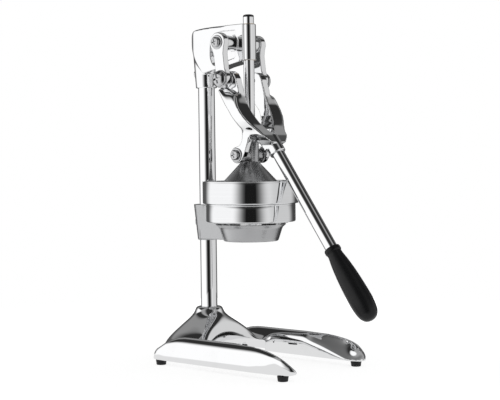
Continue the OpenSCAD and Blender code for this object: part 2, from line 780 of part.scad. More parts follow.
module seen_from_front()
    translate([0, press_y + back_reach, 0])
        rotate([90, 0, 0]) linear_extrude(back_reach + leg_reach) children();

module lever_side() {
    intersection() {
        across(0, arm_out) polygon(arm_side());
        seen_from_front() polygon(arm_front());
    }
    intersection() {
        across(arm_in, arm_out + swell) intersection() {
            polygon(arm_side());
            polygon(below_sweep());
        }
        seen_from_front() polygon(swell_front());
    }
    cross_bar(knee_pivot, knee_eye_r, arm_in, arm_out);
    cross_bar(lower_pivot, lug_eye_r, lug_in, lug_out);
    across(lug_in, lug_out)
        polygon([lower_pivot + [-lug_eye_r * 0.7, lug_eye_r * 0.7], lower_pivot + [0, -lug_eye_r],
                 lower_pivot + [lug_eye_r, -4], lower_pivot + [lug_eye_r + 4, 4], lower_pivot + [23, 22],
                 lower_pivot + [27, 34], lower_pivot + [20, 46], lower_pivot + [9, 46],
                 lower_pivot + [9.5, 20], lower_pivot + [6, lug_eye_r + 2.5],
                 lower_pivot + [0, lug_eye_r]]);
}

// Room for the rod from the closed to the fully raised lever
module rod_sweep()
    across(-rod_room, rod_room)
        polygon([lower_pivot + [-40, -20], lower_pivot + rod_room * [cos(lever_swing), -sin(lever_swing)],
                 lower_pivot + rod_room * [cos(lever_swing), -sin(lever_swing)]
                     + 90 * [sin(lever_swing), cos(lever_swing)],
                 lower_pivot + [-40, 90]]);

module lever_yoke()
    color(chrome)
        difference() {
            union() {
                both_sides() lever_side();
                along_handle() cylinder(r = socket_r, h = socket_len);
            }
            rod_sweep();
            both_sides() {
                cross_bar(knee_pivot, pivot_r, 0, arm_out + 1);
                cross_bar(lower_pivot, bush_r, 0, lug_out + 1);
            }
            along_handle(socket_len - tube_seat) cylinder(r = handle_d / 2, h = tube_seat + 1);
        }

module lug_bushes()
    color(bronze)
        both_sides()
            on_pivot(lower_pivot, lug_in) washer(bush_r, pivot_r, lug_t);

module knee_screws()
    color(steel)
        both_sides()
            on_pivot(knee_pivot, knee_head_x)
                pan_screw(dome_r, dome_h, pivot_r - run_fit, knee_head_x - arm_in);

module knee_washers()
    color(steel)
        both_sides()
            on_pivot(knee_pivot, link_out + side_gap) washer(dome_r + 1, pivot_r, washer_t);

module handle_tube()
    color(chrome)
        along_handle(socket_len - tube_seat)
            difference() {
                cylinder(r = handle_d / 2 - run_fit, h = tube_len);
                translate([0, 0, 6]) cylinder(r = handle_d / 2 - tube_wall, h = tube_len);
            }

module grip()
    color(rubber)
        along_handle(socket_len + handle_len - grip_len)
            difference() {
                rotate_extrude()
                    polygon([[0, 0], [grip_neck_r - 1, 0], [grip_neck_r, 1.5], [grip_neck_r + 0.6, 8],
                             [grip_neck_r + 1.8, grip_len * 0.2], [grip_neck_r + 3.6, grip_len * 0.4],
                             [grip_r - 0.6, grip_len * 0.6], [grip_r, grip_len * 0.72],
                             [grip_r - 0.5, grip_len * 0.82], [grip_r * 0.86, grip_len * 0.91],
                             [grip_r * 0.62, grip_len * 0.97], [grip_r * 0.3, grip_len * 0.995],
                             [0, grip_len]]);
                translate([0, 0, -1]) cylinder(r = handle_d / 2, h = grip_seat + 1);
            }

// ---- Side links ----

module link_body() {
    difference() {
        union() {
            cross_bar(upper_pivot, link_eye_r, link_in, link_out);
            cross_bar(knee_pivot, knee_eye_r, link_in, link_out);
            across(link_in, link_out) {
                link_dir = (upper_pivot - knee_pivot) / link_len;
                link_side = [link_dir[1], -link_dir[0]];
                polygon([knee_pivot + link_side * 12, knee_pivot + link_dir * 14 + link_side * 9.5,
                         upper_pivot - link_dir * 18 + link_side * 9.5, upper_pivot + link_side * 14,
                         upper_pivot - link_side * 14, upper_pivot - link_dir * 18 - link_side * 9.5,
                         knee_pivot + link_dir * 14 - link_side * 9.5, knee_pivot - link_side * 12]);
            }
        }
        cross_bar(knee_pivot, bush_r, link_in - 1, link_out + 1);
        cross_bar(upper_pivot, stud_r + run_fit, link_in - 1, link_out + 1);
    }
}

module link_left()
    color(chrome) link_body();

module link_right()
    color(chrome) mirror([1, 0, 0]) link_body();

module link_bushes()
    color(bronze)
        both_sides()
            on_pivot(knee_pivot, link_in) washer(bush_r, pivot_r, link_t);

module upper_pivot_screws()
    color(steel)
        both_sides()
            on_pivot(upper_pivot, link_out + washer_t)
                pan_screw(pan_r, pan_h, stud_r, link_t + washer_t);

module upper_pivot_washers()
    color(steel)
        both_sides()
            on_pivot(upper_pivot, link_out) washer(pan_r + washer_lip, stud_r, washer_t);

base();
rubber_feet();
foot_screws();
column();
column_plug();
column_bolt();
cup_bracket();
bracket_screw();
juice_funnel();
strainer_cup();
reamer();
head();
head_screw();
rod_bushes();
press_rod();
rod_cap();
press_cone();
cone_pin();
lower_pivot_screws();
lower_pivot_washers();
lever_yoke();
lug_bushes();
knee_screws();
knee_washers();
handle_tube();
grip();
link_left();
link_right();
link_bushes();
upper_pivot_screws();
upper_pivot_washers();
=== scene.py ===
import json
import math

import bpy
from mathutils import Matrix, Vector


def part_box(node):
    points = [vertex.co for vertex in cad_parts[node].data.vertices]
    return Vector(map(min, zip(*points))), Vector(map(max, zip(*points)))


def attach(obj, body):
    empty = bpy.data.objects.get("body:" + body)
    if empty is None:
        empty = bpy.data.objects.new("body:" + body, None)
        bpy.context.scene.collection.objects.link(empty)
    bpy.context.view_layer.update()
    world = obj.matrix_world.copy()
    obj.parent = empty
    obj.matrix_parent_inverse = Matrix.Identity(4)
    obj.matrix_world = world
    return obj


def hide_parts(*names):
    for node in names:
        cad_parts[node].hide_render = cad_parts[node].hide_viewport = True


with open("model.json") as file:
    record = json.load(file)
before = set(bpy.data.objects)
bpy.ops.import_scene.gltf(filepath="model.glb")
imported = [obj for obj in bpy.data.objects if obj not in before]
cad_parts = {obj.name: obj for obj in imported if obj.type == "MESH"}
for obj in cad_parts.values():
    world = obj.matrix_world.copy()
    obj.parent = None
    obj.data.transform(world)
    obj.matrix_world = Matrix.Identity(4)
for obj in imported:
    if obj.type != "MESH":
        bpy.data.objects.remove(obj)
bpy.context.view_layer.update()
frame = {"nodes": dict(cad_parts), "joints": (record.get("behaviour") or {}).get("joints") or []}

nodes = frame["nodes"]

# where the CAD says the main axes run
rodLow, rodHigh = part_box("press_rod")
pressAxis = (rodLow + rodHigh) / 2
columnLow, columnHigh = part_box("column")
columnAxis = (columnLow + columnHigh) / 2
hinges = {joint["name"]: joint for joint in frame["joints"]}
lowerPivot = Vector(hinges["lever_hinge"]["pos_m"])
kneePivot = Vector(hinges["link_hinge"]["pos_m"])
quarterTurn = math.pi / 2
hair = 0.00005  # a spun piece stays this far inside its CAD box


def deselectAll():
    if bpy.context.object and bpy.context.object.mode != "OBJECT":
        bpy.ops.object.mode_set(mode="OBJECT")
    bpy.ops.object.select_all(action="DESELECT")


def makeActive(piece):
    deselectAll()
    piece.select_set(True)
    bpy.context.view_layer.objects.active = piece


def applyAll(piece):
    makeActive(piece)
    for modifier in list(piece.modifiers):
        bpy.ops.object.modifier_apply(modifier=modifier.name)


def smoothShade(piece, degrees):
    makeActive(piece)
    bpy.ops.object.shade_smooth_by_angle(angle=math.radians(degrees))


def putOn(piece, body, node, material):
    piece.data.materials.clear()
    piece.data.materials.append(material)
    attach(piece, body)
    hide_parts(node)
    return piece


camera = {
    "lens": 93.6, "sensor": 36.0, "distance": 1.911, "height": 0.3066,
    "azimuth": -48.0, "pitch": 1.9, "roll": 0.7, "sideways": 0.0009,
}


def makeCamera():
    turn = math.radians(camera["azimuth"])
    back = Vector((math.sin(turn), -math.cos(turn), 0))
    across = Vector((math.cos(turn), math.sin(turn), 0))
    bpy.ops.object.camera_add()
    eye = bpy.context.object
    eye.data.lens = camera["lens"]
    eye.data.sensor_width = camera["sensor"]
    spot = Vector((pressAxis.x, pressAxis.y, camera["height"]))
    eye.location = spot + back * camera["distance"] - across * camera["sideways"]
    aim = (
        Matrix.Rotation(turn, 4, "Z")
        @ Matrix.Rotation(math.radians(90 - camera["pitch"]), 4, "X")
        @ Matrix.Rotation(math.radians(-camera["roll"]), 4, "Z")
    )
    eye.rotation_euler = aim.to_euler()
    bpy.context.scene.camera = eye


def addMath(tree, operation, first, second=None):
    made = tree.nodes.new("ShaderNodeMath")
    made.operation = operation
    for socket, value in zip(made.inputs, (first, second)):
        if value is None:
            continue
        if isinstance(value, (int, float)):
            socket.default_value = value
        else:
            tree.links.new(value, socket)
    return made.outputs[0]


def multiply(tree, first, second):
    return addMath(tree, "MULTIPLY", first, second)


def mapRange(tree, value, fromMin, fromMax, toMin, toMax):
    made = tree.nodes.new("ShaderNodeMapRange")
    made.interpolation_type = "SMOOTHSTEP"
    tree.links.new(value, made.inputs["Value"])
    for name, number in (("From Min", fromMin), ("From Max", fromMax), ("To Min", toMin), ("To Max", toMax)):
        made.inputs[name].default_value = number
    return made.outputs["Result"]


def mixValues(tree, factor, first, second):
    made = tree.nodes.new("ShaderNodeMix")
    made.data_type = "FLOAT"
    tree.links.new(factor, made.inputs["Factor"])
    for name, value in (("A", first), ("B", second)):
        if isinstance(value, float):
            made.inputs[name].default_value = value
        else:
            tree.links.new(value, made.inputs[name])
    return made.outputs["Result"]


def mixShaders(tree, factor, first, second):
    made = tree.nodes.new("ShaderNodeMixShader")
    tree.links.new(factor, made.inputs["Fac"])
    tree.links.new(first, made.inputs[1])
    tree.links.new(second, made.inputs[2])
    return made.outputs[0]


# What polished metal mirrors. Each stretch goes from one angle to another and from one brightness to
# another. Angles are in degrees, up from the horizon for ceilingRise and round from the camera for the rest.
# Glow is the least that a wall shines, and plain is the even light on all that isn't a mirror.
room = {
    "darkCore": (12, 14, 0.0, 1.0), "darkRamp": (12, 50, 0.03, 1.15),
    "rightWall": (8, 70, 1.0, 0.62), "backWall": (110, 140, 1.0, 0.08), "glow": 0.012,
    "ceilingRise": (25, 33, 0.0, 1.0), "ceilingFront": (20, 50, 0.0, 0.35),
    "ceilingSide": (62, 84, 1.0, 0.0), "ceilingBack": (118, 140, 0.03, 0.3), "plain": 0.5,
}


def headingOf(tree, x, y):
    turn = math.radians(camera["azimuth"])
    towards = (math.sin(turn), -math.cos(turn))
    ahead = addMath(tree, "ADD", multiply(tree, x, towards[0]), multiply(tree, y, towards[1]))
    side = addMath(tree, "ADD", multiply(tree, x, -towards[1]), multiply(tree, y, towards[0]))
    return multiply(tree, addMath(tree, "ARCTAN2", side, ahead), 180 / math.pi)


def wallTone(tree, heading):
    # white walls, dark where the camera stands, greyer on the right and dark behind the press
    away = addMath(tree, "ABSOLUTE", heading)
    core = mapRange(tree, away, *room["darkCore"])
    ramp = mapRange(tree, away, *room["darkRamp"])
    back = mapRange(tree, away, *room["backWall"])
    right = mapRange(tree, heading, *room["rightWall"])
    tone = multiply(tree, multiply(tree, core, ramp), multiply(tree, back, right))
    return addMath(tree, "ADD", tone, room["glow"])


def ceilingTone(tree, heading):
    # grey, but for a dark place above the camera and another off to the sides
    away = addMath(tree, "ABSOLUTE", heading)
    front = mapRange(tree, away, *room["ceilingFront"])
    side = mapRange(tree, away, *room["ceilingSide"])
    back = mapRange(tree, away, *room["ceilingBack"])
    return addMath(tree, "ADD", multiply(tree, front, side), back)


def makeWorld():
    world = bpy.data.worlds.new("studioWorld")
    bpy.context.scene.world = world
    world.use_nodes = True
    tree = world.node_tree
    tree.nodes.clear()
    place = tree.nodes.new("ShaderNodeTexCoord")
    parts = tree.nodes.new("ShaderNodeSeparateXYZ")
    tree.links.new(place.outputs["Generated"], parts.inputs[0])
    heading = headingOf(tree, parts.outputs["X"], parts.outputs["Y"])
    rise = multiply(tree, addMath(tree, "ARCSINE", parts.outputs["Z"]), 180 / math.pi)
    ceiling = mapRange(tree, rise, *room["ceilingRise"])
    mirrored = tree.nodes.new("ShaderNodeBackground")
    plain = tree.nodes.new("ShaderNodeBackground")
    white = tree.nodes.new("ShaderNodeBackground")
    for shader in (mirrored, plain, white):
        shader.inputs["Color"].default_value = (1, 1, 1, 1)
    tree.links.new(mixValues(tree, ceiling, wallTone(tree, heading), ceilingTone(tree, heading)),
                   mirrored.inputs["Strength"])
    plain.inputs["Strength"].default_value = room["plain"]
    white.inputs["Strength"].default_value = 1.0
    rays = tree.nodes.new("ShaderNodeLightPath")
    lit = mixShaders(tree, rays.outputs["Is Glossy Ray"], plain.outputs[0], mirrored.outputs[0])
    seen = mixShaders(tree, rays.outputs["Is Camera Ray"], lit, white.outputs[0])
    out = tree.nodes.new("ShaderNodeOutputWorld")
    tree.links.new(seen, out.inputs["Surface"])


# the fades go from one distance to another, measured from the middle of the floor
floorSheet = {
    "radius": 0.95, "sides": 96, "colour": 0.93, "roughness": 0.9, "white": 1.3, "mirroredNear": 0.86,
    "mirrorFade": (0.3, 0.5, 0.0, 1.0), "shadowFade": (0.25, 0.76, 0.62, 1.0),
}


def makeFloor():
    bpy.ops.mesh.primitive_circle_add(vertices=floorSheet["sides"], radius=floorSheet["radius"],
                                      fill_type="NGON")
    floor = bpy.context.object
    floor.name = "studioFloor"
    pale = (floorSheet["colour"],) * 3
    material, tree, surface = newMaterial("paleFloor", 0.0, floorSheet["roughness"], pale)
    surface.inputs["Specular IOR Level"].default_value = 0.0
    place = tree.nodes.new("ShaderNodeTexCoord")
    parts = tree.nodes.new("ShaderNodeSeparateXYZ")
    tree.links.new(place.outputs["Object"], parts.inputs[0])
    far = tree.nodes.new("ShaderNodeVectorMath")
    far.operation = "LENGTH"
    tree.links.new(place.outputs["Object"], far.inputs[0])
    distance = far.outputs["Value"]
    # metal mirrors a white sheet close by and the dark room further out
    mirrored = tree.nodes.new("ShaderNodeEmission")
    walls = wallTone(tree, headingOf(tree, parts.outputs["X"], parts.outputs["Y"]))
    further = mapRange(tree, distance, *floorSheet["mirrorFade"])
    tree.links.new(mixValues(tree, further, floorSheet["mirroredNear"], walls), mirrored.inputs["Strength"])
    # the camera sees a white sheet with the soft shadow left in it
    white = tree.nodes.new("ShaderNodeEmission")
    white.inputs["Strength"].default_value = floorSheet["white"]
    share = mapRange(tree, distance, *floorSheet["shadowFade"])
    rays = tree.nodes.new("ShaderNodeLightPath")
    seen = mixShaders(tree, multiply(tree, share, rays.outputs["Is Camera Ray"]), surface.outputs[0],
                      white.outputs[0])
    both = mixShaders(tree, rays.outputs["Is Glossy Ray"], seen, mirrored.outputs[0])
    tree.links.new(both, tree.nodes["Material Output"].inputs["Surface"])
    floor.data.materials.append(material)


lamps = {
    "keyLamp": {"spot": (-1.1, -1.3, 1.6), "power": 5.0, "size": 1.4},
    "fillLamp": {"spot": (1.5, -0.6, 1.1), "power": 2.5, "size": 1.4},
}
lampTarget = Vector((0, 0, 0.22))


def makeLamps():
    for name, facts in lamps.items():
        bpy.ops.object.light_add(type="AREA", location=facts["spot"])
        lamp = bpy.context.object
        lamp.name = name
        lamp.data.energy = facts["power"]
        lamp.data.size = facts["size"]
        aim = lampTarget - Vector(facts["spot"])
        lamp.rotation_euler = aim.to_track_quat("-Z", "Y").to_euler()
        lamp.visible_glossy = False


def newGroup(name, inputs, outputs):
    tree = bpy.data.node_groups.new(name, "ShaderNodeTree")
    for label, kind, value in inputs:
        socket = tree.interface.new_socket(label, in_out="INPUT", socket_type=kind)
        if value is not None:
            socket.default_value = value
    for label, kind in outputs:
        tree.interface.new_socket(label, in_out="OUTPUT", socket_type=kind)
    return tree, tree.nodes.new("NodeGroupInput"), tree.nodes.new("NodeGroupOutput")


def noiseNode(tree, vector, scale, detail, roughness):
    made = tree.nodes.new("ShaderNodeTexNoise")
    tree.links.new(vector, made.inputs["Vector"])
    made.inputs["Detail"].default_value = detail
    made.inputs["Roughness"].default_value = roughness
    if isinstance(scale, float):
        made.inputs["Scale"].default_value = scale
    else:
        tree.links.new(scale, made.inputs["Scale"])
    return made.outputs["Fac"]


def bumpNode(tree, height, strength, distance, normal=None):
    made = tree.nodes.new("ShaderNodeBump")
    made.inputs["Distance"].default_value = distance
    tree.links.new(height, made.inputs["Height"])
    tree.links.new(strength, made.inputs["Strength"])
    if normal:
        tree.links.new(normal, made.inputs["Normal"])
    return made.outputs["Normal"]


# a noise is (scale, detail, roughness), and its range goes from where it starts to show to its full strength
handling = {
    "smudge": (34.0, 5.0, 0.6), "smudgeRange": (0.48, 0.72),
    "scratch": (900.0, 2.0, 0.7), "scratchRange": (0.6, 0.75),
}


def makeHandlingGroup():
    # smudges and fine scratches, as roughness, and a little dulling
    tree, given, out = newGroup(
        "handlingMarks",
        [("Vector", "NodeSocketVector", None), ("Base", "NodeSocketFloat", 0.06),
         ("Smudge", "NodeSocketFloat", 0.08), ("Scratch", "NodeSocketFloat", 0.05)],
        [("Roughness", "NodeSocketFloat"), ("Dull", "NodeSocketFloat")],
    )
    vector = given.outputs["Vector"]
    clouds = noiseNode(tree, vector, *handling["smudge"])
    cloudy = mapRange(tree, clouds, *handling["smudgeRange"], 0.0, 1.0)
    streaks = noiseNode(tree, vector, *handling["scratch"])
    lines = mapRange(tree, streaks, *handling["scratchRange"], 0.0, 1.0)
    rough = addMath(tree, "ADD", given.outputs["Base"], multiply(tree, cloudy, given.outputs["Smudge"]))
    rough = addMath(tree, "ADD", rough, multiply(tree, lines, given.outputs["Scratch"]))
    tree.links.new(rough, out.inputs["Roughness"])
    tree.links.new(cloudy, out.inputs["Dull"])
    return tree


waves = {
    "detail": 1.5, "roughness": 0.4, "height": 0.002,
    "grain": (1400.0, 4.0, 0.7), "grainHeight": 0.0004,
}


def makeWaveGroup():
    # the soft unevenness of a polished casting, and the grain of a satin one
    tree, given, out = newGroup(
        "castingWaves",
        [("Vector", "NodeSocketVector", None), ("Scale", "NodeSocketFloat", 22.0),
         ("Strength", "NodeSocketFloat", 0.12), ("Grain", "NodeSocketFloat", 0.0)],
        [("Normal", "NodeSocketVector")],
    )
    vector = given.outputs["Vector"]
    wave = noiseNode(tree, vector, given.outputs["Scale"], waves["detail"], waves["roughness"])
    soft = bumpNode(tree, wave, given.outputs["Strength"], waves["height"])
    grain = noiseNode(tree, vector, *waves["grain"])
    normal = bumpNode(tree, grain, given.outputs["Grain"], waves["grainHeight"], soft)
    tree.links.new(normal, out.inputs["Normal"])
    return tree


toolLines = {"noise": (2.0, 0.6), "ringHeight": 0.0003, "drawnHeight": 0.0002, "stretch": 0.02}


def makeTurnedGroup():
    # rings left by a lathe or a spinning tool; Vector is centred on the turning axis and Z runs along it
    tree, given, out = newGroup(
        "turnedRings",
        [("Vector", "NodeSocketVector", None), ("Pitch", "NodeSocketFloat", 900.0),
         ("Strength", "NodeSocketFloat", 0.1), ("Base", "NodeSocketFloat", 0.12),
         ("Spread", "NodeSocketFloat", 0.1)],
        [("Normal", "NodeSocketVector"), ("Roughness", "NodeSocketFloat"), ("Line", "NodeSocketFloat")],
    )
    parts = tree.nodes.new("ShaderNodeSeparateXYZ")
    tree.links.new(given.outputs["Vector"], parts.inputs[0])
    squares = addMath(tree, "ADD", addMath(tree, "POWER", parts.outputs["X"], 2.0),
                      addMath(tree, "POWER", parts.outputs["Y"], 2.0))
    along = tree.nodes.new("ShaderNodeCombineXYZ")
    tree.links.new(addMath(tree, "SQRT", squares), along.inputs["X"])
    tree.links.new(parts.outputs["Z"], along.inputs["Z"])
    line = noiseNode(tree, along.outputs[0], given.outputs["Pitch"], *toolLines["noise"])
    normal = bumpNode(tree, line, given.outputs["Strength"], toolLines["ringHeight"])
    tree.links.new(normal, out.inputs["Normal"])
    rough = addMath(tree, "ADD", given.outputs["Base"], multiply(tree, line, given.outputs["Spread"]))
    tree.links.new(rough, out.inputs["Roughness"])
    tree.links.new(line, out.inputs["Line"])
    return tree


def makeDrawnGroup():
    # fine lines along a drawn or ground tube; Z of Vector runs along it
    tree, given, out = newGroup(
        "drawnLines",
        [("Vector", "NodeSocketVector", None), ("Fineness", "NodeSocketFloat", 1200.0),
         ("Strength", "NodeSocketFloat", 0.05)],
        [("Normal", "NodeSocketVector"), ("Line", "NodeSocketFloat")],
    )
    squash = tree.nodes.new("ShaderNodeVectorMath")
    squash.operation = "MULTIPLY"
    squash.inputs[1].default_value = (1.0, 1.0, toolLines["stretch"])
    tree.links.new(given.outputs["Vector"], squash.inputs[0])
    line = noiseNode(tree, squash.outputs[0], given.outputs["Fineness"], *toolLines["noise"])
    normal = bumpNode(tree, line, given.outputs["Strength"], toolLines["drawnHeight"])
    tree.links.new(normal, out.inputs["Normal"])
    tree.links.new(line, out.inputs["Line"])
    return tree


rubbedFrom, rubbedTo = 0.52, 0.62  # how sharp an edge is where rubbing starts to show and where it is full


def makeEdgeGroup():
    # a thin rim where edges are rubbed
    tree, given, out = newGroup(
        "rubbedEdges",
        [("Amount", "NodeSocketFloat", 0.5)],
        [("Rim", "NodeSocketFloat")],
    )
    shape = tree.nodes.new("ShaderNodeNewGeometry")
    rim = mapRange(tree, shape.outputs["Pointiness"], rubbedFrom, rubbedTo, 0.0, 1.0)
    tree.links.new(multiply(tree, rim, given.outputs["Amount"]), out.inputs["Rim"])
    return tree


handlingGroup = makeHandlingGroup()
waveGroup = makeWaveGroup()
turnedGroup = makeTurnedGroup()
drawnGroup = makeDrawnGroup()
edgeGroup = makeEdgeGroup()


def newMaterial(name, metallic, roughness, colour):
    material = bpy.data.materials.new(name)
    material.use_nodes = True
    surface = material.node_tree.nodes["Principled BSDF"]
    surface.inputs["Metallic"].default_value = metallic
    surface.inputs["Roughness"].default_value = roughness
    surface.inputs["Base Color"].default_value = (*colour, 1)
    return material, material.node_tree, surface


def placeVector(tree, centre=(0, 0, 0), turn=(0, 0, 0)):
    place = tree.nodes.new("ShaderNodeTexCoord")
    mapping = tree.nodes.new("ShaderNodeMapping")
    mapping.vector_type = "TEXTURE"
    mapping.inputs["Location"].default_value = centre
    mapping.inputs["Rotation"].default_value = turn
    tree.links.new(place.outputs["Object"], mapping.inputs["Vector"])
    return mapping.outputs[0]


def useGroup(tree, group, vector=None, **values):
    made = tree.nodes.new("ShaderNodeGroup")
    made.node_tree = group
    if vector is not None:
        tree.links.new(vector, made.inputs["Vector"])
    for label, value in values.items():
        made.inputs[label].default_value = value
    return made


def mixColour(tree, factor, first, second):
    made = tree.nodes.new("ShaderNodeMix")
    made.data_type = "RGBA"
    tree.links.new(factor, made.inputs["Factor"])
    made.inputs["A"].default_value = (*first, 1)
    made.inputs["B"].default_value = (*second, 1)
    return made.outputs["Result"]


def shaded(colour, share):
    return tuple(min(1.0, channel * share) for channel in colour)


def finishSurface(tree, surface, colour, roughness, normal):
    tree.links.new(colour, surface.inputs["Base Color"])
    tree.links.new(roughness, surface.inputs["Roughness"])
    tree.links.new(normal, surface.inputs["Normal"])


def castChrome(name, waviness, scale):
    colour = (0.88, 0.883, 0.89)
    material, tree, surface = newMaterial(name, 1.0, 0.05, colour)
    vector = placeVector(tree)
    marks = useGroup(tree, handlingGroup, vector, Base=0.02, Smudge=0.03, Scratch=0.012)
    wave = useGroup(tree, waveGroup, vector, Scale=scale, Strength=waviness, Grain=0.0)
    edge = useGroup(tree, edgeGroup, Amount=0.35)
    dull = multiply(tree, marks.outputs["Dull"], 0.25)
    tone = addMath(tree, "SUBTRACT", 0.35, addMath(tree, "SUBTRACT", edge.outputs["Rim"], dull))
    finishSurface(tree, surface, mixColour(tree, tone, colour, shaded(colour, 0.9)),
                  marks.outputs["Roughness"], wave.outputs["Normal"])
    return material


def tubeChrome(name, centre, turn=(0, 0, 0)):
    colour = (0.89, 0.893, 0.9)
    darker = (0.85, 0.853, 0.862)
    material, tree, surface = newMaterial(name, 1.0, 0.05, colour)
    vector = placeVector(tree, centre, turn)
    marks = useGroup(tree, handlingGroup, vector, Base=0.015, Smudge=0.025, Scratch=0.01)
    drawn = useGroup(tree, drawnGroup, vector, Fineness=1500.0, Strength=0.006)
    finishSurface(tree, surface, mixColour(tree, drawn.outputs["Line"], colour, darker),
                  marks.outputs["Roughness"], drawn.outputs["Normal"])
    return material


def turnedMetal(name, colour, centre, turn, base, spread, strength, pitch):
    material, tree, surface = newMaterial(name, 1.0, base, colour)
    vector = placeVector(tree, centre, turn)
    rings = useGroup(tree, turnedGroup, vector, Pitch=pitch, Strength=strength, Base=base, Spread=spread)
    marks = useGroup(tree, handlingGroup, vector, Base=0.0, Smudge=base * 0.6, Scratch=base * 0.3)
    finishSurface(tree, surface, mixColour(tree, rings.outputs["Line"], colour, shaded(colour, 0.86)),
                  addMath(tree, "ADD", rings.outputs["Roughness"], marks.outputs["Roughness"]),
                  rings.outputs["Normal"])
    return material


def castSatin(name, colour):
    material, tree, surface = newMaterial(name, 1.0, 0.34, colour)
    vector = placeVector(tree)
    marks = useGroup(tree, handlingGroup, vector, Base=0.2, Smudge=0.08, Scratch=0.05)
    wave = useGroup(tree, waveGroup, vector, Scale=40.0, Strength=0.1, Grain=0.22)
    edge = useGroup(tree, edgeGroup, Amount=0.6)
    finishSurface(tree, surface, mixColour(tree, edge.outputs["Rim"], colour, shaded(colour, 1.15)),
                  marks.outputs["Roughness"], wave.outputs["Normal"])
    return material


def mouldedBlack(name, colour, rough, grain):
    material, tree, surface = newMaterial(name, 0.0, rough, colour)
    surface.inputs["Specular IOR Level"].default_value = 0.28
    vector = placeVector(tree)
    marks = useGroup(tree, handlingGroup, vector, Base=rough, Smudge=0.1, Scratch=0.05)
    skin = useGroup(tree, waveGroup, vector, Scale=60.0, Strength=0.05, Grain=grain)
    edge = useGroup(tree, edgeGroup, Amount=0.4)
    worn = tuple(channel * 2.2 + 0.01 for channel in colour)
    finishSurface(tree, surface, mixColour(tree, edge.outputs["Rim"], colour, worn),
                  marks.outputs["Roughness"], skin.outputs["Normal"])
    return material


handleLow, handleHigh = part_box("handle_tube")
handleTilt = math.atan2(handleHigh.y - handleLow.y, handleHigh.z - handleLow.z)
handleCentre = (handleLow + handleHigh) / 2
uprightAt = {"centre": (pressAxis.x, pressAxis.y, 0), "turn": (0, 0, 0)}
acrossAt = {"centre": (0, lowerPivot.y, lowerPivot.z), "turn": (0, quarterTurn, 0)}

baseChrome = castChrome("baseChrome", waviness=0.02, scale=9.0)
castingChrome = castChrome("castingChrome", waviness=0.02, scale=14.0)
linkChrome = castChrome("linkChrome", waviness=0.01, scale=20.0)
columnChrome = tubeChrome("columnChrome", (columnAxis.x, columnAxis.y, 0))
rodChrome = tubeChrome("rodChrome", (pressAxis.x, pressAxis.y, 0))
handleChrome = tubeChrome("handleChrome", tuple(handleCentre), (-handleTilt, 0, 0))
cupSteel = turnedMetal("cupSteel", (0.84, 0.845, 0.855), **uprightAt,
                       base=0.02, spread=0.025, strength=0.008, pitch=1600.0)
coneMetal = turnedMetal("coneMetal", (0.5, 0.503, 0.51), **uprightAt,
                        base=0.27, spread=0.06, strength=0.03, pitch=900.0)
screwSteel = turnedMetal("screwSteel", (0.56, 0.563, 0.57), **acrossAt,
                         base=0.12, spread=0.1, strength=0.1, pitch=1500.0)
bushBronze = turnedMetal("bushBronze", (0.55, 0.38, 0.17), **acrossAt,
                         base=0.25, spread=0.1, strength=0.1, pitch=1500.0)
reamerMetal = castSatin("reamerMetal", (0.68, 0.685, 0.7))
bracketMetal = castSatin("bracketMetal", (0.44, 0.443, 0.45))
footRubber = mouldedBlack("footRubber", (0.018, 0.018, 0.02), rough=0.55, grain=0.2)
capRubber = mouldedBlack("capRubber", (0.016, 0.016, 0.018), rough=0.42, grain=0.08)
gripPlastic = mouldedBlack("gripPlastic", (0.008, 0.008, 0.009), rough=0.34, grain=0.06)
print("materials ready")

nodeFinish = {
    "column": columnChrome, "press_rod": rodChrome, "handle_tube": handleChrome,
    "column_plug": screwSteel, "column_bolt": screwSteel, "foot_screws": screwSteel,
    "bracket_screw": screwSteel, "head_screw": screwSteel, "cone_pin": screwSteel,
    "rod_bushes": bushBronze, "lug_bushes": bushBronze, "link_bushes": bushBronze,
    "lower_pivot_washers": screwSteel, "knee_washers": screwSteel, "upper_pivot_washers": screwSteel,
    "lower_pivot_screws": screwSteel, "knee_screws": screwSteel, "upper_pivot_screws": screwSteel,
    "reamer": reamerMetal, "rubber_feet": footRubber, "rod_cap": capRubber, "grip": gripPlastic,
    "cup_bracket": bracketMetal, "juice_funnel": cupSteel, "strainer_cup": cupSteel,
    "press_cone": coneMetal, "base": baseChrome, "head": castingChrome, "lever_yoke": castingChrome,
    "link_left": linkChrome, "link_right": linkChrome,
}
for name, finish in nodeFinish.items():
    nodes[name].data.materials.clear()
    nodes[name].data.materials.append(finish)

